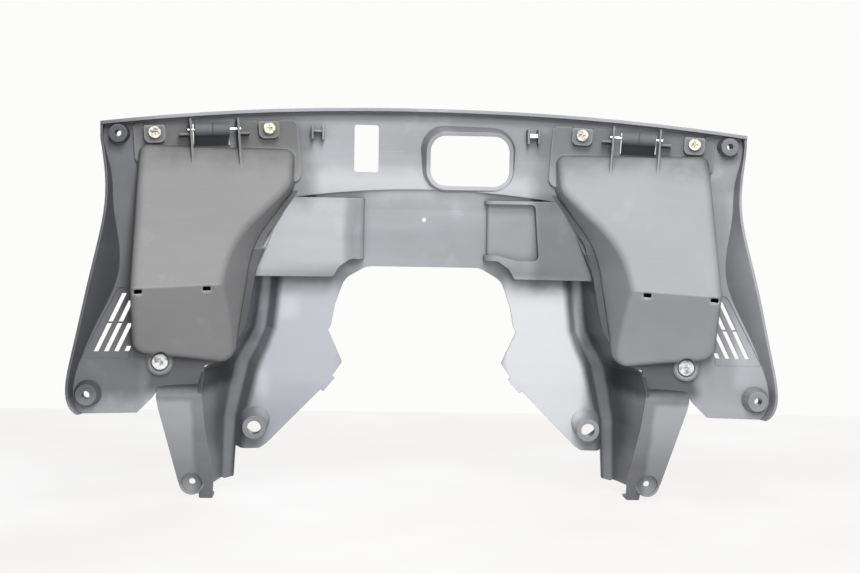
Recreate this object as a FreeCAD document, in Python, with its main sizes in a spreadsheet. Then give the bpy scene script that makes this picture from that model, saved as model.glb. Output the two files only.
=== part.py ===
import FreeCAD
import Part
import math
import os

Vector = FreeCAD.Vector
doc = FreeCAD.newDocument("scooter_inner_panel")

# Driving sizes in millimetres and degrees: alias, value, meaning
SIZES = [
    ("wall", 2.5, "panel wall"),
    ("bolt_span", 532, "distance between the upper bolt holes"),
    ("bolt_bore", 5.6, "upper bolt hole"),
    ("bolt_seat", 15.4, "upper boss seat"),
    ("pin_inset", 80, "hinge pin centre from the upper bolt hole, toward the middle"),
    ("pin_y", 16, "hinge pin centre behind the bolt seat"),
    ("pin_z", 6, "hinge pin centre above the bolt holes"),
    ("unit_yaw", 11.2, "plan angle of the side plates"),
    ("unit_roll", 3.3, "fall of the hinge pins toward the outside"),
    ("unit_lean", 11.5, "lean of the side plates"),
    ("plate_gap", 10, "pin axis to the hidden side of the side plate"),
    ("bend_x", 111, "half width of the curved middle band"),
    ("top_rise", 31, "top edge in the middle above the bolt holes"),
    ("corner_rise", 10, "top corners above the bolt holes"),
    ("corner_out", 15, "top corners outside the upper bolt holes"),
    ("lip_depth", 9, "top lip toward the hidden side"),
    ("lip_wall", 3, "top lip thickness"),
    ("flap_out", 17, "flap hole outside the upper bolt hole"),
    ("flap_hole_drop", 219, "flap hole below the bolt holes"),
    ("flap_bore", 6.6, "flap hole"),
    ("leg_inset", 65, "leg hole from the upper bolt hole, toward the middle"),
    ("leg_hole_drop", 301, "leg hole below the bolt holes"),
    ("leg_bore", 5.6, "leg hole"),
    ("wing_inset", 52.5, "wing hole from the leg hole, toward the middle"),
    ("wing_rise", 46.5, "wing hole above the leg hole"),
    ("wing_bore", 12, "wing hole"),
    ("key_x", 39.8, "key opening centre from the middle plane"),
    ("key_drop", 15.8, "key opening centre below the bolt holes"),
    ("key_width", 71, "key opening width"),
    ("key_height", 45, "key opening height"),
    ("switch_x", 53, "switch opening centre from the middle plane"),
    ("switch_drop", 5.8, "switch opening centre below the bolt holes"),
    ("switch_width", 22, "switch opening width"),
    ("switch_height", 43, "switch opening height"),
    ("tower_x", 96.5, "clip tower from the middle plane"),
    ("tower_rise", 7, "clip tower above the bolt holes"),
    ("tower_height", 11, "clip tower height from the sheet"),
    ("vent_width", 3.8, "vent slot width"),
    ("vent_pitch", 8.2, "vent slot pitch"),
    ("bin_wall", 2.2, "bin wall"),
    ("bin_depth", 46, "bin depth at the crease"),
    ("flange", 2.5, "bin flange thickness"),
    ("rib_wall", 1.8, "hinge rib thickness"),
    ("rib_gap", 41, "distance between the hinge rib centres"),
    ("pin_dia", 3, "hinge pin diameter"),
    ("pin_length", 46, "hinge pin length"),
    ("pin_press", 0.02, "radial room of the pin in the ribs"),
    ("pin_run", 0.05, "radial room of the pin in the barrel"),
    ("barrel_dia", 12.6, "hinge barrel diameter"),
    ("barrel_length", 30, "hinge barrel length"),
    ("lid_wall", 2.5, "lid thickness"),
    ("lid_room", 0.4, "room between lid and panel"),
    ("head_dia", 10.3, "upper screw head"),
    ("head_rise", 3, "upper screw head height"),
    ("shank_dia", 4, "screw shank"),
    ("shank_room", 0.02, "radial room of the screw shanks"),
    ("washer_dia", 13, "lower screw washer"),
]

sheet = doc.addObject("Spreadsheet::Sheet", "Sizes")
for row, (alias, value, meaning) in enumerate(SIZES, start=1):
    sheet.set("A%d" % row, meaning)
    sheet.set("B%d" % row, str(value))
    sheet.setAlias("B%d" % row, alias)
doc.recompute()


def size(alias):
    return float(sheet.get(alias))


wall = size("wall")
DEEP = 160.0

# Places that the outlines hang on: bolt holes, hinge pins, flap holes, leg holes, wing holes
bolt_x = size("bolt_span") / 2
pin_x = bolt_x - size("pin_inset")
flap_x = bolt_x + size("flap_out")
flap_z = -size("flap_hole_drop")
foot_x = bolt_x - size("leg_inset")
toe_z = -size("leg_hole_drop")
wing_x = foot_x - size("wing_inset")
wing_z = toe_z + size("wing_rise")
corner_x = bolt_x + size("corner_out")


def beside(x, pairs):
    """Front view points given from one place sideways."""
    return [(x + step, z) for step, z in pairs]


# Outlines

def rounded_wire(points, radii):
    """Closed wire through flat points, with an arc of its own radius at each corner."""
    if not isinstance(radii, (list, tuple)):
        radii = [radii] * len(points)
    spans = []
    count = len(points)
    for index in range(count):
        corner = points[index]
        back = (points[index - 1] - corner).normalize()
        ahead = (points[(index + 1) % count] - corner).normalize()
        half = back.getAngle(ahead) / 2
        radius = radii[index]
        if radius <= 0 or half > 1.56:
            spans.append((corner, None, corner))
            continue
        reach = radius / math.tan(half)
        middle = (back + ahead).normalize()
        centre = corner + middle * (radius / math.sin(half))
        spans.append((corner + back * reach, centre - middle * radius, corner + ahead * reach))
    edges = []
    for index in range(count):
        start, top, end = spans[index]
        if top is not None:
            edges.append(Part.Arc(start, top, end).toShape())
        follow = spans[(index + 1) % count][0]
        if end.distanceToPoint(follow) > 1e-6:
            edges.append(Part.makeLine(end, follow))
    return Part.Wire(edges)


def front_face(pairs, radii, depth):
    """Flat face in the front view: x to the right, z up, at one depth."""
    return Part.Face(rounded_wire([Vector(x, depth, z) for x, z in pairs], radii))


def front_prism(pairs, radii=0, near=-DEEP, far=DEEP):
    """Solid with the given front view outline between two depths."""
    return front_face(pairs, radii, near).extrude(Vector(0, far - near, 0))


def box_pairs(x, z, width, height):
    half = width / 2
    rise = height / 2
    return [(x - half, z - rise), (x + half, z - rise), (x + half, z + rise), (x - half, z + rise)]


def rod(x, z, near, far, radius, end_radius=None):
    """Cylinder or cone along the depth axis."""
    if end_radius is None:
        return Part.makeCylinder(radius, far - near, Vector(x, near, z), Vector(0, 1, 0))
    return Part.makeCone(radius, end_radius, far - near, Vector(x, near, z), Vector(0, 1, 0))


def mirrored(shape):
    return shape.mirror(Vector(0, 0, 0), Vector(1, 0, 0))


def both(shape):
    return [shape, mirrored(shape)]


# Frame of one bin unit: pin centre, x along the pin, y toward the rider, z up the side plate

def unit_placement(side):
    turn = FreeCAD.Rotation(Vector(0, 0, 1), -side * size("unit_yaw"))
    turn = turn.multiply(FreeCAD.Rotation(Vector(0, 1, 0), side * size("unit_roll")))
    turn = turn.multiply(FreeCAD.Rotation(Vector(1, 0, 0), -size("unit_lean")))
    return FreeCAD.Placement(Vector(side * pin_x, size("pin_y"), size("pin_z")), turn)


unit = unit_placement(1)
normal = unit.Rotation.multVec(Vector(0, 1, 0))
plate_origin = unit.multVec(Vector(0, size("plate_gap"), 0))
plan_slope = -normal.x / normal.y
lean_slope = -normal.z / normal.y
plan_angle = math.atan(-plan_slope)
bend_x = size("bend_x")
bend_radius = bend_x / math.sin(plan_angle)
bend_y = plate_origin.y + plan_slope * (bend_x - plate_origin.x) - lean_slope * plate_origin.z


def plan_y(x):
    """Depth of the hidden side of the leaning sheet at the height of the bolt holes."""
    reach = abs(x)
    if reach >= bend_x:
        return bend_y + plan_slope * (reach - bend_x)
    centre = bend_y - math.sqrt(bend_radius ** 2 - bend_x ** 2)
    return centre + math.sqrt(bend_radius ** 2 - reach ** 2)


def sheet_y(x, z):
    return plan_y(x) + lean_slope * z


def plan_path(offset, reach):
    """Points of the sheet path in plan, offset toward the rider."""
    shift = Vector(math.sin(plan_angle), math.cos(plan_angle), 0) * offset
    end = Vector(reach, plan_y(reach), 0) + shift
    turn = Vector(bend_x, plan_y(bend_x), 0) + shift
    crown = Vector(0, plan_y(0) + offset, 0)
    return [Vector(-end.x, end.y, 0), Vector(-turn.x, turn.y, 0), crown, turn, end]


def leaning_sheet(near, far, low, high, reach=320.0):
    """Leaning sheet between two offsets of the path and between two heights."""
    a = plan_path(near, reach)
    b = plan_path(far, reach)
    edges = [
        Part.makeLine(a[0], a[1]),
        Part.Arc(a[1], a[2], a[3]).toShape(),
        Part.makeLine(a[3], a[4]),
        Part.makeLine(a[4], b[4]),
        Part.makeLine(b[4], b[3]),
        Part.Arc(b[3], b[2], b[1]).toShape(),
        Part.makeLine(b[1], b[0]),
        Part.makeLine(b[0], a[0]),
    ]
    face = Part.Face(Part.Wire(edges))
    rise = Vector(0, lean_slope, 1)
    face.translate(rise * low)
    return face.extrude(rise * (high - low))


# Outer edge of the side plates: height, edge from the middle, slant of the return, its depth
EDGE = [
    (size("corner_rise") - 1.5, corner_x, 3.0, 8.0),
    (-30.0, bolt_x + 10.0, 4.0, 9.0),
    (-60.0, bolt_x + 8.5, 6.0, 10.0),
    (-90.0, bolt_x + 11.5, 15.0, 15.0),
    (-120.0, bolt_x + 16.5, 21.0, 19.0),
    (flap_z + 59.0, flap_x + 7.0, 13.0, 16.0),
    (flap_z + 29.0, flap_x + 13.0, 7.0, 12.0),
    (flap_z + 8.0, flap_x + 16.0, 5.0, 10.0),
    (flap_z - 7.0, flap_x + 14.0, 4.5, 9.0),
    (flap_z - 16.0, flap_x + 7.0, 4.0, 7.0),
]

# Inner edge of the side plates where the tunnel wall starts
INNER = beside(pin_x, [
    (46, -224), (41, -217), (5, -217), (4, -205), (3, -197), (-7, -194), (-16, -189), (-20, -181),
    (-30, -165), (-33, -150), (-38, -116), (-45, -88), (-70, -51),
])


def edge_curve(points):
    curve = Part.BSplineCurve()
    curve.interpolate(points)
    return curve.toShape()


def upper_outline():
    """Front view outline of the leaning sheet with its side plates and flaps."""
    rise = size("corner_rise")
    crown = Vector(0, -DEEP, size("top_rise"))
    fall = [Vector(corner_x - 2.0, -DEEP, rise)]
    arch = Part.Arc(Vector(-fall[0].x, -DEEP, rise), crown, fall[0])
    fall += [Vector(x - slant + 1.3, -DEEP, z) for z, x, slant, depth in EDGE]
    low = [fall[-1], Vector(flap_x - 40.0, -DEEP, fall[-1].z)]
    low += [Vector(x, -DEEP, z) for x, z in INNER]
    ridge = Part.Arc(low[-1], Vector(0, -DEEP, -42), Vector(-low[-1].x, -DEEP, low[-1].z))
    flip = [Vector(-p.x, p.y, p.z) for p in low]
    flip_fall = [Vector(-p.x, p.y, p.z) for p in fall]
    edges = [arch.toShape(), edge_curve(fall)]
    edges += [Part.makeLine(a, b) for a, b in zip(low, low[1:])]
    edges.append(ridge.toShape())
    edges += [Part.makeLine(a, b) for a, b in zip(flip, flip[1:])]
    edges.append(edge_curve(flip_fall))
    return Part.Face(Part.Wire(Part.__sortEdges__(edges)))


def top_lip():
    """Lip along the top edge, as deep as the sheet plus the lip depth."""
    thick = size("lip_wall")
    rise = size("corner_rise")
    crown = size("top_rise")
    upper = [Vector(x, -DEEP, z) for x, z in ((-corner_x, rise), (0, crown), (corner_x, rise))]
    lower = [p - Vector(0, 0, thick) for p in upper]
    edges = [
        Part.Arc(*upper).toShape(),
        Part.makeLine(upper[2], lower[2]),
        Part.Arc(*lower).toShape(),
        Part.makeLine(lower[0], upper[0]),
    ]
    ring = Part.Face(Part.Wire(edges)).extrude(Vector(0, 2 * DEEP, 0))
    return ring.common(leaning_sheet(-size("lip_depth"), wall, -30, 60))


def edge_return():
    """Return along the outer edge, turned toward the hidden side."""
    sections = []
    for z, x, slant, depth in EDGE:
        foot = x - slant
        tip_y = sheet_y(x, z) - depth
        base_y = sheet_y(foot, z)
        corners = [
            Vector(x - 2.0, tip_y, z),
            Vector(x, tip_y, z),
            Vector(foot + wall + 0.6, base_y + wall, z),
            Vector(foot, base_y + 0.5 * wall, z),
        ]
        sections.append(Part.makePolygon(corners + [corners[0]]))
    return Part.makeLoft(sections, True, False)


# Lower tunnel sheet: height, then from the pin or the leg hole sideways the wall start, the groove floor from
# and to and the wing start, then behind the band the groove and the wing, then the crown of the wings
TUNNEL_TOP = -38.0
band_y = sheet_y(0, TUNNEL_TOP)
BESIDE_BIN = [
    (TUNNEL_TOP, -75.0, -78.0, -87.0, -96.0, 2.2, -1.3, 2.4),
    (-60.0, -61.0, -64.0, -73.0, -81.0, 5.2, 1.7, 2.0),
    (-116.0, -37.0, -41.0, -50.0, -58.0, 10.2, 2.2, 1.6),
    (-150.0, -32.0, -37.0, -47.0, -55.0, 11.2, 1.2, 1.6),
    (-168.0, -28.0, -34.0, -44.5, -53.0, 11.2, 0.7, 1.6),
    (-186.0, -17.0, -25.0, -37.0, -46.5, 11.2, 0.2, 1.6),
    (-200.0, 3.0, -17.5, -30.0, -40.0, 11.2, -0.3, 1.6),
]
BESIDE_LEG = [
    (-215.0, -11.0, -29.0, -41.0, -51.0, 11.2, -0.8, 1.6),
    (-250.0, -12.0, -23.0, -33.5, -42.5, 11.2, -0.8, 1.6),
    (toe_z - 10.0, -18.0, -22.0, -31.0, -38.0, 9.2, -0.8, 1.6),
]
WING_SLOPE = -0.16
WING_TURN = 60.0
LEG_TOP = -206.0
LEG_RAISE = 15.4
LEG_SLOPE = 0.41
leg_top_y = sheet_y(pin_x + 17.0, LEG_TOP) - LEG_RAISE


def leg_y(z):
    return leg_top_y + LEG_SLOPE * (LEG_TOP - z)


def thick_section(path, radii, thick, z):
    """Closed section of a bent sheet: its path in plan and the same path offset to the right."""
    flat = [Vector(x, y, 0) for x, y in path]
    ahead = [(b - a).normalize() for a, b in zip(flat, flat[1:])]
    side = [Vector(d.y, -d.x, 0) for d in ahead]
    outer = [flat[0] + side[0] * thick]
    outer_radii = [0]
    for index in range(1, len(flat) - 1):
        before = side[index - 1]
        after = side[index]
        spread = (before + after).normalize()
        outer.append(flat[index] + spread * (thick / spread.dot(before)))
        inside = ahead[index].dot(before) > 0
        outer_radii.append(max(radii[index] - thick, 0.4) if inside else radii[index] + thick)
    outer.append(flat[-1] + side[-1] * thick)
    outer_radii.append(0)
    points = flat + outer[::-1]
    wire = rounded_wire(points, list(radii) + outer_radii[::-1])
    wire.translate(Vector(0, 0, z))
    return wire


def tunnel_sheet():
    sections = []
    rows = [(pin_x, row) for row in BESIDE_BIN] + [(foot_x, row) for row in BESIDE_LEG]
    for x, (z, start, floor_out, floor_in, wing, groove, depth, crown) in rows:
        start_y = (sheet_y(x + start, z) if z > LEG_TOP else leg_y(z)) + 0.8
        depth += band_y
        half = [
            (x + start, start_y),
            (x + floor_out, band_y + groove),
            (x + floor_in, band_y + groove),
            (x + wing, depth + WING_SLOPE * (x + wing - WING_TURN)),
            (WING_TURN, depth),
        ]
        path = half + [(0, depth + crown)] + [(-x, y) for x, y in half[::-1]]
        bends = [0, 3.5, 3.0, 6.0, 60.0]
        sections.append(thick_section(path, bends + [300.0] + bends[::-1], wall, z))
    return Part.makeLoft(sections, True, True)


# Front view outline of the tunnel sheet, right half
TUNNEL_EDGE = [(0, TUNNEL_TOP - 0.2)]
TUNNEL_EDGE += beside(pin_x, [(-76, TUNNEL_TOP - 0.2), (-44, -84), (-34, -116), (-28, -150)])
TUNNEL_EDGE += beside(pin_x, [(-22, -168), (-10, -186), (9, -199)])
TUNNEL_EDGE += beside(foot_x, [(-1, -205), (-1, toe_z + 8), (-20.5, toe_z - 3)])
TUNNEL_EDGE += beside(foot_x, [(-24, toe_z - 5.5), (-32.5, toe_z - 3)])
TUNNEL_EDGE += beside(foot_x, [(-34, wing_z - 21), (-38, wing_z - 20)])
TUNNEL_EDGE += beside(foot_x, [(-56.5, wing_z - 20), (-62, wing_z - 16.5)])
TUNNEL_EDGE += [(91, -222.5), (88.6, -224.4), (78.4, -212.3), (80.8, -210.4), (72, -198), (85, -169)]
TUNNEL_EDGE += [(82.5, -165), (79, -146), (71, -123), (51, -111.6), (0, -111.6)]
TUNNEL_ROUND = [0] * 11 + [2, 2, 1, 1, 4, 4, 0, 0.6, 0.6, 0, 2, 1, 2, 0, 18, 18, 0]


def pad_y(x):
    return band_y - 13.8 + WING_SLOPE * (x - 82.0)


PAD_EDGE = [(50, -51)] + beside(pin_x, [(-70, -51), (-44.5, -88), (-35, -121)])
PAD_EDGE += [(81, -121), (76, -112), (66, -105), (50, -105)]
POCKET = [(40, -54), (98, -54), (102, -104.5), (82, -104.5), (66, -100), (40, -100)]
POCKET_ROUND = [0, 4, 5, 6, 8, 0]


def pad(pocket):
    """Hollow pad beside the tunnel face, open at its lower end, with or without a pocket."""
    def block(inset, low=-121.0, high=-51.0):
        inner = 54.0 + min(inset, wall)
        outer = pin_x - 21.0
        points = [(inner, 14.0), (inner, inset), (outer, inset), (outer, 14.0)]
        corners = [Vector(x, pad_y(x) + depth, low) for x, depth in points]
        turn = max(10.0 - inset, 0.0)
        return Part.Face(rounded_wire(corners, [0, turn, 0, 0])).extrude(Vector(0, 0, high - low))
    hood = block(0).common(front_prism(PAD_EDGE, [0, 3, 0, 0, 3, 6, 6, 0]))
    hood = hood.cut(block(wall, -122, -51 - wall))
    if not pocket:
        return hood
    dip = 7.0
    face = Part.Face(rounded_wire([Vector(x, -DEEP, z) for x, z in POCKET], POCKET_ROUND))
    room = face.extrude(Vector(0, 2 * DEEP, 0))
    rim = Part.Face(face.OuterWire.makeOffset2D(wall)).extrude(Vector(0, 2 * DEEP, 0))
    plug = block(0).common(rim).cut(block(dip + wall, -122, -53.5))
    return hood.fuse(plug).cut(room.cut(block(dip, -122, -40)))


LEG_SHOULDER = -212.0
LEG_EDGE = beside(pin_x, [(4.5, -203), (40.5, -203), (42, -222), (41, -231)])
LEG_EDGE += beside(foot_x, [(11.5, toe_z), (6, toe_z - 7.5), (-5.5, toe_z - 8), (-6, toe_z - 15)])
LEG_EDGE += beside(foot_x, [(-17.5, toe_z - 15), (-19, toe_z + 5), (-13, -250)])


def leg():
    """Hollow leg below the bin, sloping toward the rider at its lower end."""
    def block(inset):
        top = LEG_SHOULDER - inset
        low = toe_z - 24.0
        depth = 16.0
        pairs = [(inset, top), (inset, low), (depth, low), (depth, top)]
        corners = [Vector(0, leg_y(z) + step, z) for step, z in pairs]
        profile = rounded_wire(corners, [8.0 - inset, 0, 0, 0])
        return Part.Face(profile).extrude(Vector(2 * bolt_x, 0, 0))
    inside = beside(pin_x, [(-16, -206), (38, -206), (39.5, -222), (38.5, -230)])
    inside += beside(foot_x, [(9, toe_z + 1), (5, toe_z - 4.5), (-8, toe_z - 5)])
    inside += beside(foot_x, [(-9, toe_z - 12), (-31, toe_z - 12)])
    body = block(0).common(front_prism(LEG_EDGE, [0, 0, 4, 3, 5, 4, 1, 1, 1, 0, 0]))
    return body.cut(block(wall).common(front_prism(inside, [0, 0, 3, 2, 4, 3, 0, 0, 0])))


def wing_boss(near, grow):
    """Slanted boss of the wing hole, or the hollow in it, from its base up to the depth of its end."""
    def ring(y, rise, radius):
        return Part.Wire(Part.makeCircle(radius, Vector(wing_x, y, wing_z + rise), Vector(0, 1, 0)))
    return Part.makeLoft([ring(near + 14.0, 6.0, 13.0 + grow), ring(near, 0, 10.2 + grow)], True, True)


def key_collar():
    """Collar of the key opening: tapered skirt from the sheet to an upright rim."""
    x = size("key_x")
    z = -size("key_drop")
    face_y = sheet_y(x, -45) - 2.0
    rim = 3.6

    def skirt(grow_rim, grow_base):
        near = box_pairs(x, z, size("key_width") + grow_rim, size("key_height") + grow_rim)
        far = box_pairs(x, z, size("key_width") + grow_base, size("key_height") + grow_base)
        radius = 14.0
        front = rounded_wire([Vector(a, face_y, b) for a, b in near], radius + grow_rim / 2)
        rear = rounded_wire([Vector(a, face_y + 20, b) for a, b in far], radius + grow_base / 2)
        return Part.makeLoft([front, rear], True, True)
    outer = skirt(2 * rim, 2 * rim + 16).common(leaning_sheet(-60, 0.5 * wall, -60, 60))
    return outer, skirt(0, 15)


def clip_tower(side):
    """Clip tower with two fins and a web between them."""
    x = side * size("tower_x")
    z = size("tower_rise")
    back = sheet_y(x, z) + 1.0
    near = back - 1.0 - size("tower_height")
    pieces = [front_prism(box_pairs(x + step, z, 1.7, 13), 0, near, back) for step in (-4.7, 4.7)]
    pieces.append(front_prism(box_pairs(x, z + 1, 10, 1.7), 0, near + 1.5, back))
    return pieces


def vents():
    """Slanted slots of the right flap and their shallow pocket."""
    slope = -21.0 / 48.5
    low = flap_z + 34.5
    start = flap_x - 5.0
    inner = flap_x - 31.5
    half = size("vent_width") / 2
    slots = []
    for index in range(4):
        x = start - index * size("vent_pitch")
        rise = min(48.5, (inner - x) / slope)
        top = x + slope * rise
        outline = [(x - half, low), (x + half, low), (top + half, low + rise), (top - half, low + rise)]
        slots.append(front_prism(outline, 0))
    outline = [(-32.5, flap_z + 28), (7, flap_z + 28), (-21, flap_z + 88), (-32.5, flap_z + 88)]
    pocket_plan = front_prism(beside(flap_x, outline), [1, 2, 5, 1])
    pocket = pocket_plan.common(leaning_sheet(-1, 0.9, -250, 0))
    bar = front_prism(box_pairs(flap_x - 20.6, flap_z + 58.5, 23.2, 1.4))
    bar = bar.common(leaning_sheet(0.5 * wall, wall, -250, 0))
    return slots, pocket, bar


def on_plate(x, z):
    """Front view point on the side plate, in the frame of the bin unit."""
    point = unit.inverse().multVec(Vector(x, sheet_y(x, z), z))
    return point.x, point.z


def plate_wire(pairs, radii, side, depth):
    points = [Vector(side * u, depth, w) for u, w in pairs]
    return rounded_wire(points, radii)


def plate_prism(pairs, radii, side, near, far):
    return Part.Face(plate_wire(pairs, radii, side, near)).extrude(Vector(0, far - near, 0))


gap = size("plate_gap")
front = gap + wall


def outline(pairs):
    """Outline on the side plate from front view points given from the pin sideways."""
    return [on_plate(x, z) for x, z in beside(pin_x, pairs)]


OPENING = outline([(58, -16), (58, -150), (-14, -150), (-21, -116), (-43, -62), (-55, -46), (-55, -16)])
LID = outline([(63.5, -7), (63.5, -156), (-23, -156), (-31.5, -116), (-55, -60), (-64.5, -44), (-64.5, -5)])
BASE = outline([(63, -9), (62, -184), (-21, -195), (-35, -92), (-70, -44), (-70, -9)])
OPENING_ROUND = [6, 8, 8, 30, 30, 12, 6]
BASE_ROUND = [8, 12, 14, 90, 22, 8]
HINGE_ROOM = 0.8
BARREL_SHIFT = 2.0
ARM_TOP = 8.5
UPPER_SCREWS = [(51.0, -1.5), (-48.0, 0.0)]
LOWER_SCREW = on_plate(pin_x + 40.0, -194)
SCREW_BOSS = 4.5
PAD_ROOF = 2.0
PAD_RISE = 4.0
TAB_RIM = 1.0


def panel_shape():
    body = upper_outline().extrude(Vector(0, 2 * DEEP, 0)).common(leaning_sheet(0, wall, -250, 60))
    tunnel_outline = front_prism(TUNNEL_EDGE, TUNNEL_ROUND)
    tunnel = tunnel_sheet().common(tunnel_outline.fuse(mirrored(tunnel_outline)))
    pieces = [top_lip(), tunnel]
    for piece in (edge_return(), leg()):
        pieces += both(piece)
    pieces += [pad(True), mirrored(pad(False))]
    collar, key_hole = key_collar()
    pieces.append(collar)
    pieces += clip_tower(1) + clip_tower(-1)
    seat = size("bolt_seat") / 2
    flap_y = sheet_y(flap_x, flap_z)
    leg_floor = leg_y(toe_z) + 4.0
    wing_near = band_y + BESIDE_LEG[1][6] + WING_SLOPE * (wing_x - WING_TURN)
    pieces += both(rod(bolt_x, 0, 0, sheet_y(bolt_x, 0) + 1.5, seat, seat + 0.9))
    pieces += both(rod(flap_x, flap_z, flap_y - 9.0, flap_y + 1.0, 8.6, 11.5))
    pieces += both(rod(foot_x, toe_z, leg_floor - 3.0, leg_floor + wall, 11.0))
    pieces += both(wing_boss(wing_near - 12.0, 0))
    slots, pocket, bar = vents()
    body = body.multiFuse(pieces)
    cuts = [key_hole]
    cuts += both(rod(bolt_x, 0, -DEEP, DEEP, size("bolt_bore") / 2))
    cuts += both(rod(flap_x, flap_z, -DEEP, DEEP, size("flap_bore") / 2))
    cuts += both(rod(foot_x, toe_z, -DEEP, leg_floor, 9.0))
    cuts += both(rod(foot_x, toe_z, -DEEP, DEEP, size("leg_bore") / 2))
    cuts += both(wing_boss(wing_near - 12.0 + wall, -wall))
    cuts += both(rod(wing_x, wing_z, -DEEP, DEEP, size("wing_bore") / 2))
    cuts.append(rod(0, -69, -DEEP, DEEP, 2.0))
    cuts.append(front_prism(
        box_pairs(-size("switch_x"), -size("switch_drop"), size("switch_width"), size("switch_height")), 2.5))
    for piece in slots + [pocket]:
        cuts += both(piece)
    half = size("barrel_length") / 2 + HINGE_ROOM
    low_u = BARREL_SHIFT - half
    high_u = BARREL_SHIFT + half
    hinge = [(low_u, ARM_TOP), (high_u, ARM_TOP), (high_u, -40), (low_u, -40)]
    for side in (1, -1):
        place = unit_placement(side).toMatrix()
        hole = plate_prism(OPENING, OPENING_ROUND, side, gap - 3, front + 3)
        slot = plate_prism(hinge, 1.0, side, gap - 3, front + 3)
        cuts.append(hole.transformGeometry(place))
        cuts.append(slot.transformGeometry(place))
    body = body.cut(Part.makeCompound(cuts))
    return body.multiFuse(both(bar))


def add_feature(name, shape, placement=None):
    """Document object for a shape made in code."""
    feature = doc.addObject("Part::Feature", name)
    feature.Shape = shape
    if placement is not None:
        feature.Placement = placement
    return feature


def bound(kind, name, cells):
    """Document object whose sizes are bound to cells of the sheet."""
    thing = doc.addObject(kind, name)
    for prop, cell in cells.items():
        thing.setExpression(prop, cell)
    return thing


# Glove bin: wedge between the base outline on the plate and the outline at the crease

def at_depth(x, z, depth):
    """Front view point in front of the side plate, in the frame of the bin unit."""
    point = unit.inverse().multVec(Vector(x, sheet_y(x, z) - depth / normal.y, z))
    return point.x, point.z


CREST = beside(pin_x, [(62, -9), (60.5, -187), (-9, -197), (-9, -86), (-56, -40), (-56, -9)])
CREST_ROUND = [8, 12, 14, 75, 22, 8]
CREASE = at_depth(pin_x + 29.0, -128, size("bin_depth"))[1]
TOP_LINE = (-1.0, -20.0)
LOW_LINE = (2.0, at_depth(pin_x + 29.0, -191, 8.0)[1])
TWIST = 2.0


def wedge(side, shift):
    """Block behind the two sloping walls of a bin."""
    peak = (gap - size("bin_depth") + shift, CREASE)
    top = (TOP_LINE[0] + shift, TOP_LINE[1])
    low = (LOW_LINE[0] + shift, LOW_LINE[1])

    def along(a, b, w):
        return a[0] + (b[0] - a[0]) * (w - a[1]) / (b[1] - a[1])
    high_w = 20.0
    low_w = -240.0
    rear = 70.0
    pairs = [(along(peak, top, high_w), high_w), peak, (along(peak, low, low_w), low_w)]
    pairs += [(rear, low_w), (rear, high_w)]
    corners = [Vector(-120, v, w) for v, w in pairs]
    block = Part.Face(Part.makePolygon(corners + [corners[0]])).extrude(Vector(240, 0, 0))
    block.rotate(Vector(side * 25, 0, 0), Vector(0, 0, 1), -side * TWIST)
    return block


def bin_block(side, inset, near):
    crest = [at_depth(x, z, size("bin_depth")) for x, z in CREST]
    base = plate_wire(BASE, BASE_ROUND, side, near)
    top = plate_wire(crest, CREST_ROUND, side, gap - size("bin_depth") - 8.0)
    if inset:
        base = base.makeOffset2D(-inset)
        top = top.makeOffset2D(-inset)
    return Part.makeLoft([base, top], True, True).common(wedge(side, inset))


def round_block(block, radius):
    """Rounds the rims of the two sloping walls with the largest radius that holds; the crease stays."""
    flats = [f for f in block.Faces if f.Surface.TypeId == "Part::GeomPlane" and f.BoundBox.YMin < gap - 2]
    edges = []
    for face in flats:
        for edge in face.Edges:
            if edge.BoundBox.ZLength > 1e-3 or edge.BoundBox.YMin > gap - size("bin_depth") + 8:
                edges.append(edge)
    while radius > 0.9:
        try:
            rounded = block.makeFillet(radius, edges)
            if rounded.isValid() and len(rounded.Solids) == 1:
                return rounded
        except Exception:
            pass
        radius -= 0.5
    return block


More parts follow.
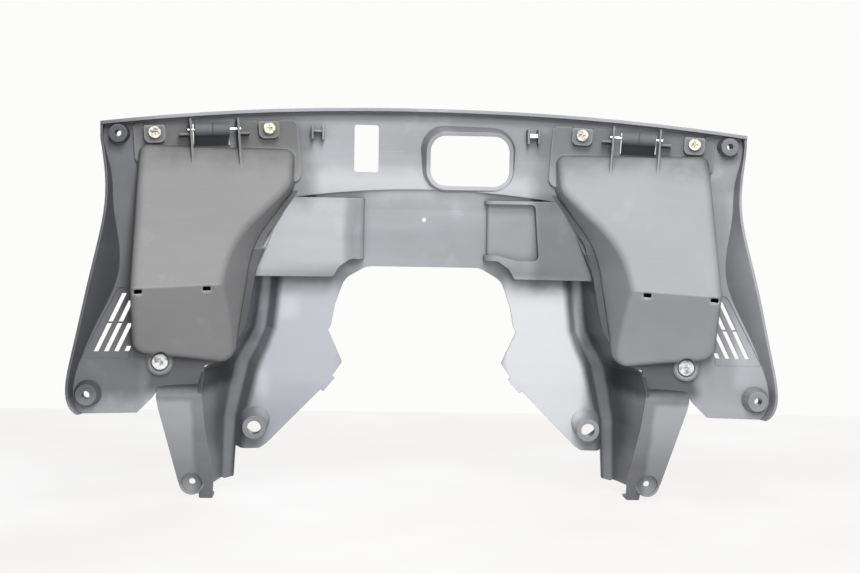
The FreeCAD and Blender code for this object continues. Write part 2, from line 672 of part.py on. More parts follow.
def bin_shape(side):
    body = bin_block(side, 0, gap)
    cavity = bin_block(side, size("bin_wall"), gap + 0.5)
    body = round_block(body, 6.0)
    cavity = round_block(cavity, 4.0)
    low_u, low_w = LOWER_SCREW
    flange_near = gap - size("flange")
    top_plate = [(-75, 9.5), (68.5, 9.5), (68.5, -24), (50, -40), (-60, -52), (-75, -44)]
    pieces = [plate_prism(top_plate, [5, 5, 6, 6, 4, 9], side, flange_near, gap)]
    low_spot = Vector(side * low_u, 0, low_w)
    ahead = Vector(0, 1, 0)
    tab = [(-11, 24), (-11, -11), (11, -11), (11, 24)]
    tab = [(low_u + u, low_w + w) for u, w in tab]
    pieces.append(plate_prism(tab, [0, 10.5, 10.5, 0], side, flange_near, gap))
    rim_near = flange_near - TAB_RIM
    pieces.append(Part.makeCylinder(9.8, gap - rim_near, low_spot + ahead * rim_near, ahead))
    for u, w in UPPER_SCREWS:
        pad_plan = [(u - 9, w + 7), (u + 9, w + 7), (u + 9, w - 8.5), (u - 9, w - 8.5)]
        pieces.append(plate_prism(pad_plan, [1.5, 1.5, 5, 5], side, PAD_ROOF, flange_near + 0.5))
    half = size("rib_gap") / 2
    thick = size("rib_wall")
    rib = [(gap, 9.8), (-4.5, 9.0), (-6.5, 6.0), (-6.5, -9.0), (-4.0, -36.0), (gap, -36.0)]
    for u in (-half, half):
        corners = [Vector(side * u - thick / 2, v, w) for v, w in rib]
        plate = Part.Face(Part.makePolygon(corners + [corners[0]])).extrude(Vector(thick, 0, 0))
        pieces.append(plate)
        out = u / half
        shelf = [(u, -3.2), (u + out * 10, -3.2), (u + out * 10, -5.0), (u, -5.0)]
        pieces.append(plate_prism(shelf, 0, side, -2.0, gap - 1.0))
    body = body.multiFuse(pieces)
    room = half - thick / 2
    hinge = [(-room, 12), (room, 12), (room, TOP_LINE[1] + 4), (-room, TOP_LINE[1] + 4)]
    cuts = [cavity, plate_prism(hinge, 0, side, -20, gap + 1)]
    bore = size("pin_dia") / 2 + size("pin_press")
    cuts.append(Part.makeCylinder(bore, 80, Vector(-40, 0, 0), Vector(1, 0, 0)))
    shank = size("shank_dia") / 2 + 0.2
    for u, w in UPPER_SCREWS:
        cuts.append(Part.makeCylinder(shank, 40, Vector(side * u, -20, w), ahead))
        boss = SCREW_BOSS + 0.3
        cuts.append(Part.makeCylinder(boss, 20, Vector(side * u, PAD_RISE, w), ahead))
        above = [(u - 9.5, w + 7.5), (u + 9.5, w + 7.5), (u + 9.5, 20), (u - 9.5, 20)]
        cuts.append(plate_prism(above, 0, side, -9, 20))
    cuts.append(Part.makeCylinder(shank, 40, low_spot - ahead * 20, ahead))
    driver = size("washer_dia") / 2 + 1.2
    cuts.append(Part.makeCylinder(driver, 12, low_spot + ahead * (flange_near - 12), ahead))
    for step in (53, -2):
        u = at_depth(pin_x + step, -132, size("bin_depth"))[0]
        slot = [(u - 3.2, CREASE - 4.4), (u + 3.2, CREASE - 4.4)]
        slot += [(u + 3.2, CREASE - 1.2), (u - 3.2, CREASE - 1.2)]
        cuts.append(plate_prism(slot, 0.6, side, -70, -20))
    return body.cut(Part.makeCompound(cuts))


# Lid with its hinge barrel

LID_ROUND = [9, 10, 10, 30, 30, 12, 9]


def lid_shape(side):
    near = front + size("lid_room")
    far = near + size("lid_wall")
    plate = plate_prism(LID, LID_ROUND, side, near, far)
    face_edges = [e for e in plate.Edges if e.BoundBox.YMin > far - 1e-3]
    plate = plate.makeFillet(1.2, face_edges)
    outer = plate_wire(OPENING, OPENING_ROUND, side, gap - 3.0).makeOffset2D(-2.0)
    inner = plate_wire(OPENING, OPENING_ROUND, side, gap - 3.0).makeOffset2D(-3.8)
    reach = Vector(0, near + 0.5 - gap + 3.0, 0)
    rim = Part.Face(outer).extrude(reach).cut(Part.Face(inner).extrude(reach))
    length = size("barrel_length")
    start = side * BARREL_SHIFT - length / 2
    radius = size("barrel_dia") / 2
    barrel = Part.makeCylinder(radius, length, Vector(start, 0, 0), Vector(1, 0, 0))
    arm_pairs = [(-2, 5.0), (3, 5.2), (far, -8.5), (far, -18), (near, -18), (near, -11.5), (3, -4.5)]
    corners = [Vector(start, v, w) for v, w in arm_pairs]
    arm = Part.Face(Part.makePolygon(corners + [corners[0]])).extrude(Vector(length, 0, 0))
    grip = outline([(39, -143), (39, -150), (-6, -150), (-6, -143)])
    pull = plate_prism(grip, 3.0, side, far - 0.5, far + 4.0)
    body = plate.multiFuse([rim, barrel, arm, pull])
    bore = size("pin_dia") / 2 + size("pin_run")
    cuts = [Part.makeCylinder(bore, 80, Vector(-40, 0, 0), Vector(1, 0, 0))]
    groove = Part.makeCylinder(radius + 1, 0.8, Vector(start + length / 2 - 0.4, 0, 0), Vector(1, 0, 0))
    core = Part.makeCylinder(radius - 0.5, 0.8, Vector(start + length / 2 - 0.4, 0, 0), Vector(1, 0, 0))
    cuts.append(groove.cut(core).common(Part.makeBox(60, 6, 40, Vector(-30, -7, -20))))
    return body.cut(Part.makeCompound(cuts))


def panel_bosses(body):
    """Screw bosses of the panel inside the screw pads, and the lower screw holes."""
    pieces = []
    cuts = []
    hole = size("shank_dia") / 2 + size("shank_room")
    for side in (1, -1):
        place = unit_placement(side).toMatrix()
        for u, w in UPPER_SCREWS:
            base = Vector(side * u, PAD_RISE + 0.3, w)
            boss = Part.makeCylinder(SCREW_BOSS, gap + 1.0 - base.y, base, Vector(0, 1, 0))
            bore = Part.makeCylinder(hole, gap + 0.6 - base.y, base, Vector(0, 1, 0))
            pieces.append(boss.transformGeometry(place))
            cuts.append(bore.transformGeometry(place))
        u, w = LOWER_SCREW
        bore = Part.makeCylinder(hole, 20, Vector(side * u, gap - 5, w), Vector(0, 1, 0))
        cuts.append(bore.transformGeometry(place))
    return body.multiFuse(pieces).cut(Part.makeCompound(cuts))


nodes = {}
panel = panel_bosses(panel_shape()).removeSplitter()
nodes["inner_panel"] = add_feature("inner_panel", panel)

right_bin = bin_shape(1)
right_lid = lid_shape(1)
for side, word in ((-1, "left"), (1, "right")):
    place = unit_placement(side)
    bin_solid = right_bin if side > 0 else mirrored(right_bin)
    lid_solid = right_lid if side > 0 else mirrored(right_lid)
    nodes[word + "_glove_bin"] = add_feature(word + "_glove_bin", bin_solid, place)
    nodes[word + "_glove_lid"] = add_feature(word + "_glove_lid", lid_solid, place)
    cells = {"Radius": "Sizes.pin_dia / 2", "Height": "Sizes.pin_length"}
    pin = bound("Part::Cylinder", word + "_hinge_pin", cells)
    shift = FreeCAD.Placement(Vector(-size("pin_length") / 2, 0, 0), FreeCAD.Rotation(Vector(0, 1, 0), 90))
    pin.Placement = place.multiply(shift)
    nodes[word + "_hinge_pin"] = pin


# Screws: head, shank and cross recess, along the depth from the head top

def screw_shape(name, head_cell, shank_length):
    cells = {"Radius": "Sizes." + head_cell + " / 2", "Height": "Sizes.head_rise"}
    head = bound("Part::Cylinder", name + "_head", cells)
    shank = bound("Part::Cylinder", name + "_shank", {"Radius": "Sizes.shank_dia / 2"})
    shank.setExpression("Height", "Sizes.head_rise + %s" % shank_length)
    solid = doc.addObject("Part::MultiFuse", name + "_solid")
    solid.Shapes = [head, shank]
    slots = []
    for index, turn in enumerate((0, 90)):
        slot = doc.addObject("Part::Box", name + "_slot_%d" % index)
        slot.Length = 6.0
        slot.Width = 1.2
        slot.Height = 1.8
        spin = FreeCAD.Rotation(Vector(0, 0, 1), turn)
        slot.Placement = FreeCAD.Placement(spin.multVec(Vector(-3.0, -0.6, 0)), spin)
        slots.append(slot)
    recess = doc.addObject("Part::MultiFuse", name + "_recess")
    recess.Shapes = slots
    cut = doc.addObject("Part::Cut", name + "_cut")
    cut.Base = solid
    cut.Tool = recess
    doc.recompute()
    return cut.Shape


def spread(name, shape, spots):
    copies = []
    for side, u, w, depth in spots:
        turn = FreeCAD.Rotation(Vector(1, 0, 0), -90)
        local = FreeCAD.Placement(Vector(side * u, depth, w), turn)
        copy = shape.copy()
        copy.Placement = unit_placement(side).multiply(local)
        copies.append(copy)
    return add_feature(name, Part.makeCompound(copies))


upper = screw_shape("upper_screw", "head_dia", gap + 0.3 - PAD_ROOF)
lower = screw_shape("lower_screw", "washer_dia", size("flange") + wall - 0.4)
head_rise = size("head_rise")
upper_spots = [(side, u, w, PAD_ROOF - head_rise) for side in (-1, 1) for u, w in UPPER_SCREWS]
lower_spots = [(side, LOWER_SCREW[0], LOWER_SCREW[1], gap - size("flange") - head_rise) for side in (-1, 1)]
nodes["upper_bin_screws"] = spread("upper_bin_screws", upper, upper_spots)
nodes["lower_bin_screws"] = spread("lower_bin_screws", lower, lower_spots)


def spring_clip():
    """Sheet spring clip pushed over the web of the right clip tower."""
    x = size("tower_x")
    z = size("tower_rise") + 1
    near = sheet_y(x, size("tower_rise")) - size("tower_height") + 1.5
    half = 0.85 + 0.1
    thick = 0.6
    outer = half + thick
    flare = outer + 0.5
    upper_pairs = [
        (-0.1 - thick, outer), (7.0, outer), (7.5, flare), (7.5, flare - thick), (6.8, half), (-0.1, half),
    ]
    pairs = upper_pairs + [(step, -rise) for step, rise in upper_pairs[::-1]]
    corners = [Vector(x - 3.5, near + step, z + rise) for step, rise in pairs]
    return Part.Face(Part.makePolygon(corners + [corners[0]])).extrude(Vector(7, 0, 0))


nodes["panel_spring_clip"] = add_feature("panel_spring_clip", spring_clip())
doc.recompute()

os.makedirs("parts", exist_ok=True)
for name, node in nodes.items():
    shape = node.Shape
    if shape.isNull() or not shape.isValid():
        raise RuntimeError("bad shape: " + name)
    print(name, len(shape.Solids), round(shape.Volume))
    shape.exportStep("parts/%s.step" % name)
for thing in doc.Objects:
    if "Invalid" in thing.State or "Error" in thing.State:
        raise RuntimeError("bad object: " + thing.Name)
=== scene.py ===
import math

import bpy
from mathutils import Matrix, Vector


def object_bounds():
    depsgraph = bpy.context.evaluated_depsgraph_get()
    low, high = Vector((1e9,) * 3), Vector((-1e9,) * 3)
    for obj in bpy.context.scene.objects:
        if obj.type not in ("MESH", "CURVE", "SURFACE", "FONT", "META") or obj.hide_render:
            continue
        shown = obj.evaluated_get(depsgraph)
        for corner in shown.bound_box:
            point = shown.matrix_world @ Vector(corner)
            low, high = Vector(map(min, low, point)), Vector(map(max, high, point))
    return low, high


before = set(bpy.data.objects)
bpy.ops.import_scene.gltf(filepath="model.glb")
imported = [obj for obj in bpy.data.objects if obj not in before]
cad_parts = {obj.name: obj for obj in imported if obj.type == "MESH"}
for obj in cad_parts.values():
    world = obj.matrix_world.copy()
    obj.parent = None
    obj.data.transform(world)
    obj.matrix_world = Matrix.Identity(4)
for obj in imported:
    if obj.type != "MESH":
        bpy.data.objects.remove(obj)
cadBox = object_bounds()
bpy.ops.object.select_all(action="DESELECT")
print("frame loaded:", len(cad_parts), "nodes")


# Shader maths as Python expressions

class Shade:
    def __init__(self, tree, socket=None):
        self.tree = tree
        self.socket = socket

    def node(self, kind, settings, inputs, output=0):
        made = self.tree.nodes.new(kind)
        for name, value in settings.items():
            setattr(made, name, value)
        for name, value in inputs.items():
            if isinstance(value, Shade):
                self.tree.links.new(value.socket, made.inputs[name])
            else:
                made.inputs[name].default_value = value
        return Shade(self.tree, made.outputs[output])

    def maths(self, operation, first, second):
        return self.node("ShaderNodeMath", {"operation": operation}, {0: first, 1: second})

    def __add__(self, other):
        return self.maths("ADD", self, other)

    def __radd__(self, other):
        return self.maths("ADD", other, self)

    def __sub__(self, other):
        return self.maths("SUBTRACT", self, other)

    def __rsub__(self, other):
        return self.maths("SUBTRACT", other, self)

    def __mul__(self, other):
        return self.maths("MULTIPLY", self, other)

    def __rmul__(self, other):
        return self.maths("MULTIPLY", other, self)

    def size(self):
        return self.maths("ABSOLUTE", self, 0.0)

    def ramp(self, low, high):
        settings = {"interpolation_type": "SMOOTHSTEP", "clamp": True}
        inputs = {"Value": self, "From Min": low, "From Max": high}
        return self.node("ShaderNodeMapRange", settings, inputs)

    def mixColour(self, amount, first, second):
        inputs = {"Factor": amount, "A": first, "B": second}
        return self.node("ShaderNodeMix", {"data_type": "RGBA"}, inputs, output="Result")


def linear(tone):
    return tone / 12.92 if tone <= 0.04045 else ((tone + 0.055) / 1.055) ** 2.4


# A colour written as it is seen, from 0 to 255
def colour(red, green, blue):
    return (linear(red / 255), linear(green / 255), linear(blue / 255), 1)


def newMaterial(name):
    material = bpy.data.materials.new(name)
    material.use_nodes = True
    tree = material.node_tree
    return material, Shade(tree), tree.nodes["Principled BSDF"]


def feed(shader, links):
    for name, value in links.items():
        if isinstance(value, Shade):
            value.tree.links.new(value.socket, shader.inputs[name])
        else:
            shader.inputs[name].default_value = value


def ownPlace(shade):
    return shade.node("ShaderNodeTexCoord", {}, {}, output="Object")


# Noise in the piece's own coordinates, stretched and turned first and put through a ramp if asked
def pattern(shade, place, look):
    if "stretch" in look:
        stretch = {"Vector": place, "Rotation": look["turn"], "Scale": look["stretch"]}
        place = shade.node("ShaderNodeMapping", {}, stretch)
    inputs = {"Vector": place, "Scale": look["scale"]}
    inputs.update({"Detail": look["detail"], "Roughness": look["rough"]})
    noise = shade.node("ShaderNodeTexNoise", {}, inputs, output="Fac")
    return noise.ramp(*look["ramp"]) if "ramp" in look else noise


# Pale edges, worn, and on the bins also a painted highlight along the rims: how far the rounded
# normal leaves the true one

edgeLook = {"samples": 6, "ramp": (0.012, 0.16)}


def edgeMask(shade, width):
    rounded = shade.node("ShaderNodeBevel", {"samples": edgeLook["samples"]}, {"Radius": width})
    true = shade.node("ShaderNodeNewGeometry", {}, {}, output="True Normal")
    settings = {"operation": "DOT_PRODUCT"}
    agree = shade.node("ShaderNodeVectorMath", settings, {0: rounded, 1: true}, output="Value")
    return rounded, (1 - agree).ramp(*edgeLook["ramp"])


# Painted shade: colour darkened in grooves, corners and under the rims, where ambient occlusion
# finds them

occlusionShadeLook = {"samples": 8, "reach": 0.085, "ramp": (0.06, 0.62)}


def occlusionShadeMask(shade):
    settings = {"samples": occlusionShadeLook["samples"]}
    inputs = {"Distance": occlusionShadeLook["reach"]}
    room = shade.node("ShaderNodeAmbientOcclusion", settings, inputs, output="AO")
    return (1 - room).ramp(*occlusionShadeLook["ramp"])


# Soft-edged areas of tone in a piece's own coordinates, in metres, on the side that the bins are on.
# Most are
# painted light and shade: painted shadows under and beside the bins and pads, painted shade in the
# tunnels, grooves and folds, and painted light on the wings, pads, legs, band and right return. Two
# are pale scuffs, the left wing grows darker towards its foot, and the bins darken towards their top
# flange. A mirrored area lies on both halves, and a plate area only on the flat side plates.

everywhere = (-1, 1)
deepSide = (0.020, 0.3)
grooveDepth = (0.046, 0.3)


def area(amount, tone, x=everywhere, z=everywhere, y=everywhere, soft=0.006,
         mirror=False, plate=False, lean=0.0):
    return {
        "amount": amount, "tone": colour(*tone), "spans": {"X": x, "Y": y, "Z": z}, "soft": soft,
        "mirror": mirror, "plate": plate, "lean": lean,
    }


areaLook = {
    "drift": {"scale": 22.0, "detail": 4.0, "rough": 0.6},
    "driftMiddle": 0.5, "driftReach": 2.2, "sideRamp": (0.15, 0.55),
}
sidePlate = {"X": -0.18, "Y": -0.96, "Z": 0.20, "offset": 0.0577, "ramp": (0.0015, 0.0035)}
panelAreas = {
    # pale haze on the left wing: partly real haze, partly painted highlight
    "leftWing": area(
        0.72, (212, 215, 223), x=(-0.147, -0.074), z=(-0.40, -0.124), y=deepSide),
    "leftWingFoot": area(
        0.28, (120, 121, 125), x=(-0.150, -0.060), z=(-0.40, -0.226), y=deepSide, soft=0.020),
    # paler haze on the right wing: partly real haze, mostly painted highlight
    "rightWingHazeAndHighlight": area(
        0.94, (241, 242, 245), x=(0.072, 0.147), z=(-0.40, -0.121), y=deepSide),
    # painted shade on the right pad
    "rightPadShade": area(0.62, (91, 92, 95), x=(0.098, 0.170), z=(-0.130, -0.045)),
    # painted shadow of the left bin on the strip beside it
    "leftStripShadow": area(0.76, (67, 68, 72), x=(-0.40, -0.236), z=(-0.225, 0.014), soft=0.010),
    # painted shade in the tunnels
    "tunnelShade": area(
        0.42, (58, 59, 62), x=(0.147, 0.182), z=(-0.182, -0.121), soft=0.005, mirror=True),
    # painted shade in the grooves
    "grooveShade": area(
        0.26, (57, 58, 61), x=(0.149, 0.162), z=(-0.205, -0.118), y=grooveDepth, mirror=True),
    # painted light on the left pad
    "leftPadLight": area(0.40, (230, 231, 235), x=(-0.150, -0.062), z=(-0.118, -0.052)),
    # painted shade on the rounded fold at the left pad's end
    "padFoldShade": area(0.42, (80, 81, 84), x=(-0.071, -0.060), z=(-0.112, -0.050), soft=0.004),
    # painted highlight along the concave bend at the foot of the band
    "bandFootHighlight": area(0.45, (232, 233, 237), x=(-0.100, 0.100), z=(-0.048, -0.026), soft=0.010),
    # painted light on the right return
    "rightReturnLight": area(0.45, (208, 209, 215), x=(0.266, 0.40), z=(-0.21, -0.040)),
    # painted shade on the plates beside the pads
    "besidePadsShade": area(
        0.92, (50, 51, 53), x=(0.135, 0.172), z=(-0.215, -0.0965), soft=0.001,
        mirror=True, plate=True),
    # painted shade in the pads' corners
    "padCornersShade": area(
        0.84, (56, 57, 59), x=(0.086, 0.115), z=(-0.0965, -0.045), soft=0.001,
        mirror=True, plate=True, lean=0.6),
    "leftScuff": area(0.38, (243, 243, 245), x=(-0.126, -0.112), z=(-0.158, -0.138), y=deepSide),
    "lowScuff": area(0.38, (241, 243, 245), x=(-0.152, -0.139), z=(-0.228, -0.205), y=deepSide),
    # painted shadow under the pads, on the wings
    "underPadsShadow": area(
        0.38, (65, 66, 69), x=(0.062, 0.136), z=(-0.131, -0.112), y=deepSide, soft=0.008,
        mirror=True),
    # painted shadow under the bins, above the legs
    "underBinsShadow": area(0.88, (54, 55, 58), x=(0.170, 0.236), z=(-0.219, -0.180), mirror=True),
    # painted shade on the band beside the bins
    "besideBinsShade": area(
        0.44, (72, 73, 76), x=(0.100, 0.160), z=(-0.055, 0.010), soft=0.012, mirror=True),
    # painted shade under the top rim
    "underRimShade": area(0.34, (72, 73, 76), x=(0.100, 0.40), z=(-0.012, 0.012), mirror=True),
    # painted light on the legs
    "legsLight": area(
        0.60, (228, 229, 231), x=(0.1985, 0.236), z=(-0.33, -0.226), soft=0.003, mirror=True),
}
binAreas = {
    "flange": area(0.62, (67, 68, 69), z=(-0.018, 0.1), soft=0.018),
}


def splitAxes(shade, vector):
    split = shade.node("ShaderNodeSeparateXYZ", {}, {"Vector": vector}).socket.node
    return {axis: Shade(shade.tree, split.outputs[axis]) for axis in ("X", "Y", "Z")}


# Paints the areas: painted light and shade, and pale scuffs
def paintAreas(shade, place, body, areas):
    axes = splitAxes(shade, place)
    drift = pattern(shade, place, areaLook["drift"]) - areaLook["driftMiddle"]
    halfWidth = axes["X"].size()
    lift = sidePlate["X"] * halfWidth + sidePlate["Y"] * axes["Y"] + sidePlate["Z"] * axes["Z"]
    onPlate = 1 - (lift + sidePlate["offset"]).size().ramp(*sidePlate["ramp"])
    facing = shade.node("ShaderNodeTexCoord", {}, {}, output="Normal")
    binSide = 1 - splitAxes(shade, facing)["Y"].ramp(*areaLook["sideRamp"])
    for item in areas.values():
        soft = item["soft"]
        inside = item["amount"] * binSide
        for axis, along in axes.items():
            if item["spans"][axis] == everywhere:
                continue
            if axis == "X":
                along = (halfWidth if item["mirror"] else along) + item["lean"] * axes["Z"]
            along = along + areaLook["driftReach"] * soft * drift
            low, high = item["spans"][axis]
            inside = inside * along.ramp(low - soft, low + soft)
            inside = inside * (1 - along.ramp(high - soft, high + soft))
        if item["plate"]:
            inside = inside * onPlate
        body = shade.mixColour(inside, body, item["tone"])
    return body


# Moulded plastic: grain, cloudy tone, flow streaks, pale rub marks, scratches, specks, pale edges
# that are worn and on the bins a painted highlight, areas of painted light and shade, and painted
# shade in the hollows

plasticLook = {
    "tone": {"scale": 9.0, "detail": 4.0, "rough": 0.55, "ramp": (0.3, 0.7)},
    "streak": {
        "stretch": (5.0, 5.0, 34.0), "turn": (0.1, 0.25, 0.0),
        "scale": 1.0, "detail": 3.0, "rough": 0.6, "ramp": (0.42, 0.72),
    },
    "rubbed": {"scale": 24.0, "detail": 5.0, "rough": 0.62, "ramp": (0.58, 0.72)},
    "scratch": {
        "stretch": (14.0, 60.0, 420.0), "turn": (0.3, 0.6, 0.2),
        "scale": 1.0, "detail": 1.0, "rough": 0.4, "ramp": (0.70, 0.76),
    },
    "specks": {"scale": 620.0, "detail": 1.0, "rough": 0.5, "ramp": (0.70, 0.80)},
    "grain": {"detail": 2.0, "rough": 0.6},
    "grainHeight": 0.0004, "roughByTone": 0.10, "smoothByRubs": 0.10, "smoothByEdges": 0.06,
}
panelFinish = {
    "dark": colour(151, 152, 156), "light": colour(172, 173, 178), "pale": colour(213, 214, 219),
    # the next colour and amount give the painted shade in the hollows
    "occlusionShade": colour(63, 64, 67), "occlusionShadeAmount": 0.46,
    "grainScale": 1500.0, "grainDepth": 0.12, "rough": 0.42, "gloss": 0.5, "edgeRound": 0.0009,
    "streaks": 0.20, "rubs": 0.30, "scratches": 0.10, "specks": 0.12, "paleEdgeWearAndHighlight": 0.28,
    "areas": panelAreas,
}
# The bins' broad pale rims are a painted highlight along their edges, with some wear
leftBinFinish = {
    "dark": colour(144, 144, 145), "light": colour(155, 155, 156), "pale": colour(221, 221, 221),
    # the next colour and amount give the painted shade in the hollows
    "occlusionShade": colour(61, 62, 63), "occlusionShadeAmount": 0.55,
    "grainScale": 1800.0, "grainDepth": 0.16, "rough": 0.48, "gloss": 0.45, "edgeRound": 0.0040,
    "streaks": 0.03, "rubs": 0.08, "scratches": 0.03, "specks": 0.10, "paleEdgeWearAndHighlight": 0.60,
    "areas": binAreas,
}
# The right bin is a paler copy of the left bin's plastic: painted light, for the stronger light on
# its faces
rightBinPaintedLightFinish = dict(
    leftBinFinish,
    dark=colour(168, 170, 172), light=colour(181, 183, 185), pale=colour(230, 232, 233),
)
lidFinish = {
    "dark": colour(99, 100, 105), "light": colour(114, 115, 120), "pale": colour(161, 163, 167),
    # the next colour and amount give the painted shade in the hollows
    "occlusionShade": colour(61, 62, 63), "occlusionShadeAmount": 0.50,
    "grainScale": 900.0, "grainDepth": 0.30, "rough": 0.50, "gloss": 0.5, "edgeRound": 0.0010,
    "streaks": 0.05, "rubs": 0.10, "scratches": 0.14, "specks": 0.10, "paleEdgeWearAndHighlight": 0.30,
    "areas": {},
}


def mouldedPlastic(name, finish):
    material, shade, shader = newMaterial(name)
    place = ownPlace(shade)
    look = plasticLook
    rounded, edges = edgeMask(shade, finish["edgeRound"])
    grain = pattern(shade, place, dict(look["grain"], scale=finish["grainScale"]))
    tone = pattern(shade, place, look["tone"])
    streak = pattern(shade, place, look["streak"])
    rubbed = pattern(shade, place, look["rubbed"])
    scratch = pattern(shade, place, look["scratch"])
    specks = pattern(shade, place, look["specks"])
    body = shade.mixColour(tone, finish["dark"], finish["light"])
    body = shade.mixColour(streak * finish["streaks"], body, finish["pale"])
    marks = rubbed * finish["rubs"] + scratch * finish["scratches"] + specks * finish["specks"]
    body = shade.mixColour(marks, body, finish["pale"])
    # areas of painted light and shade, and pale scuffs
    if finish["areas"]:
        body = paintAreas(shade, place, body, finish["areas"])
    # pale edges: wear, and on the bins a painted highlight
    body = shade.mixColour(edges * finish["paleEdgeWearAndHighlight"], body, finish["pale"])
    # painted shade in the hollows, from ambient occlusion
    body = shade.mixColour(occlusionShadeMask(shade) * finish["occlusionShadeAmount"], body, finish["occlusionShade"])
    rough = finish["rough"] + look["roughByTone"] * tone
    rough = rough - look["smoothByRubs"] * rubbed - look["smoothByEdges"] * edges
    relief = {"Strength": finish["grainDepth"], "Distance": look["grainHeight"]}
    relief.update({"Height": grain, "Normal": rounded})
    bump = shade.node("ShaderNodeBump", {}, relief)
    feed(shader, {"Base Color": body, "Roughness": rough, "Normal": bump})
    feed(shader, {"Specular IOR Level": finish["gloss"]})
    return material


# Drawn or plated steel with fine lines and dull spots

steelLook = {
    "lines": {
        "stretch": (300.0, 2600.0, 2600.0), "turn": (0, 0, 0),
        "scale": 1.0, "detail": 2.0, "rough": 0.6,
    },
    "dull": {"scale": 260.0, "detail": 4.0, "rough": 0.6, "ramp": (0.45, 0.7)},
    "roughByDull": 0.18, "roughByLines": 0.08, "lineDepth": 0.08, "lineHeight": 0.0002,
}
pinFinish = {
    "bright": colour(243, 243, 243), "dull": colour(200, 201, 202), "rough": 0.24, "metal": 1.0,
}
upperScrewFinish = {
    "bright": colour(211, 210, 197), "dull": colour(125, 123, 114), "rough": 0.50, "metal": 0.55,
}
lowerScrewFinish = {
    "bright": colour(189, 190, 191), "dull": colour(138, 139, 140), "rough": 0.42, "metal": 0.6,
}
clipFinish = {
    "bright": colour(243, 243, 238), "dull": colour(221, 211, 183), "rough": 0.28, "metal": 0.9,
}


def platedSteel(name, finish):
    material, shade, shader = newMaterial(name)
    place = ownPlace(shade)
    lines = pattern(shade, place, steelLook["lines"])
    dull = pattern(shade, place, steelLook["dull"])
    body = shade.mixColour(dull, finish["bright"], finish["dull"])
    rough = finish["rough"] + steelLook["roughByDull"] * dull + steelLook["roughByLines"] * lines
    relief = {"Strength": steelLook["lineDepth"], "Distance": steelLook["lineHeight"]}
    bump = shade.node("ShaderNodeBump", {}, dict(relief, Height=lines))
    feed(shader, {"Base Color": body, "Roughness": rough, "Normal": bump})
    feed(shader, {"Metallic": finish["metal"]})
    return material


lidPlastic = mouldedPlastic("lidPlastic", lidFinish)
pinSteel = platedSteel("pinSteel", pinFinish)
finishes = {
    "inner_panel": mouldedPlastic("panelPlastic", panelFinish),
    "left_glove_bin": mouldedPlastic("leftBinPlastic", leftBinFinish),
    "right_glove_bin": mouldedPlastic("rightBinPaintedLightPlastic", rightBinPaintedLightFinish),
    "left_glove_lid": lidPlastic,
    "right_glove_lid": lidPlastic,
    "left_hinge_pin": pinSteel,
    "right_hinge_pin": pinSteel,
    "upper_bin_screws": platedSteel("zincScrew", upperScrewFinish),
    "lower_bin_screws": platedSteel("washerScrew", lowerScrewFinish),
    "panel_spring_clip": platedSteel("clipSteel", clipFinish),
}
for name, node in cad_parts.items():
    node.data.materials.clear()
    node.data.materials.append(finishes[name])
print("finishes on", len(finishes), "nodes")


# Stage: a pale floor, white to the camera and in reflections, that still takes the part's shadow

stageLook = {
    "across": 12.0, "front": -5.0, "back": 0.55,
    "tone": (0.97, 0.95, 0.94, 1), "white": (1, 1, 1, 1), "bounceTone": (0.35, 0.35, 0.35, 1),
    "mottle": {"scale": 5.0, "detail": 3.0, "rough": 0.5, "ramp": (0.3, 0.8)},
    "glow": 0.88, "rough": 0.9, "gloss": 0.1,
}


def rayShare(shade, kind):
    return shade.node("ShaderNodeLightPath", {}, {}, output=kind)


def paleStage(name, look):
    material, shade, shader = newMaterial(name)
    mottle = pattern(shade, ownPlace(shade), look["mottle"])
    warm = shade.mixColour(mottle, look["tone"], look["white"])
    seen = (rayShare(shade, "Is Camera Ray") + rayShare(shade, "Is Glossy Ray")).ramp(0.0, 1.0)
    matteTone = shade.mixColour(seen, look["bounceTone"], warm)
    feed(shader, {"Base Color": matteTone})
    feed(shader, {"Roughness": look["rough"], "Specular IOR Level": look["gloss"]})
    bright = shade.node("ShaderNodeEmission", {}, {"Color": warm, "Strength": 1.0})
    matte = Shade(shade.tree, shader.outputs["BSDF"])
    mixed = shade.node("ShaderNodeMixShader", {}, {0: seen * look["glow"], 1: matte, 2: bright})
    feed(shade.tree.nodes["Material Output"], {"Surface": mixed})
    return material


depth = stageLook["back"] - stageLook["front"]
middle = (0, (stageLook["back"] + stageLook["front"]) / 2, cadBox[0].z)
bpy.ops.mesh.primitive_plane_add(size=1, location=middle)
floor = bpy.context.object
floor.name = "floor"
floor.scale = (stageLook["across"], depth, 1)
bpy.ops.object.transform_apply(location=True, rotation=True, scale=True)
floor.data.materials.append(paleStage("floorPale", stageLook))
bpy.ops.object.select_all(action="DESELECT")


# Light: soft lamps on the camera's side, one behind, and dim surroundings that show pale

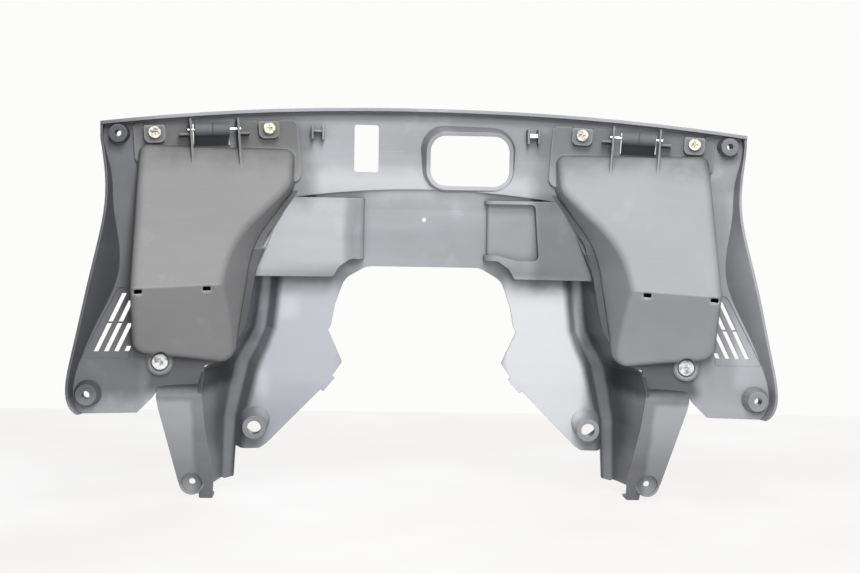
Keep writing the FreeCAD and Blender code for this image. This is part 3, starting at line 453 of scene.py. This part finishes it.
lamps = {
    "keyLamp": {"place": (0.06, -1.00, 0.46), "size": 0.5, "power": 4.6},
    "frontLamp": {"place": (0.06, -1.30, -0.12), "size": 0.5, "power": 5.1},
    "topLamp": {"place": (0.10, -0.70, 0.95), "size": 0.5, "power": 7.2},
    "backLamp": {"place": (0.35, 1.30, 0.65), "size": 0.6, "power": 8.0},
}
lampAim = Vector((0.0, 0.0, -0.12))
roomLight = {"tone": (1, 0.995, 0.99, 1), "dim": 0.03, "inMetal": 0.22, "behind": 0.95}
world = bpy.data.worlds.new("paleRoom")
bpy.context.scene.world = world
world.use_nodes = True
room = Shade(world.node_tree)
shown = rayShare(room, "Is Camera Ray") * roomLight["behind"]
shown = shown + rayShare(room, "Is Glossy Ray") * roomLight["inMetal"] + roomLight["dim"]
feed(world.node_tree.nodes["Background"], {"Color": roomLight["tone"], "Strength": shown})
for name, lamp in lamps.items():
    bpy.ops.object.light_add(type="AREA", location=lamp["place"])
    made = bpy.context.object
    made.name = name
    made.data.shape = "DISK"
    made.data.size = lamp["size"]
    made.data.energy = lamp["power"]
    made.rotation_euler = (lampAim - Vector(lamp["place"])).to_track_quat("-Z", "Y").to_euler()
print("stage and light ready")


# Camera at the photograph's angle, worked out for a frame of 860 by 573

cameraFit = {
    "place": (-0.0737, -1.1493, -0.0722), "yaw": 0.0670, "pitch": -0.0476, "roll": 0.0190,
    "focalPixels": 1322.9, "frameWidth": 860, "sensorWidth": 36.0,
}
yaw = cameraFit["yaw"]
pitch = cameraFit["pitch"]
level = math.cos(pitch)
ahead = Vector((math.sin(yaw) * level, math.cos(yaw) * level, math.sin(pitch)))
right = Vector((math.cos(yaw), -math.sin(yaw), 0))
up = right.cross(ahead)
turn = Matrix.Rotation(-cameraFit["roll"], 3, ahead)
right = turn @ right
up = turn @ up
cameraData = bpy.data.cameras.new("photoCamera")
cameraData.sensor_fit = "HORIZONTAL"
cameraData.sensor_width = cameraFit["sensorWidth"]
cameraData.lens = cameraFit["sensorWidth"] * cameraFit["focalPixels"] / cameraFit["frameWidth"]
camera = bpy.data.objects.new("photoCamera", cameraData)
bpy.context.scene.collection.objects.link(camera)
basis = Matrix((right, up, -ahead)).transposed().to_4x4()
camera.matrix_world = Matrix.Translation(cameraFit["place"]) @ basis
bpy.context.scene.camera = camera
bpy.context.scene.view_settings.view_transform = "Standard"
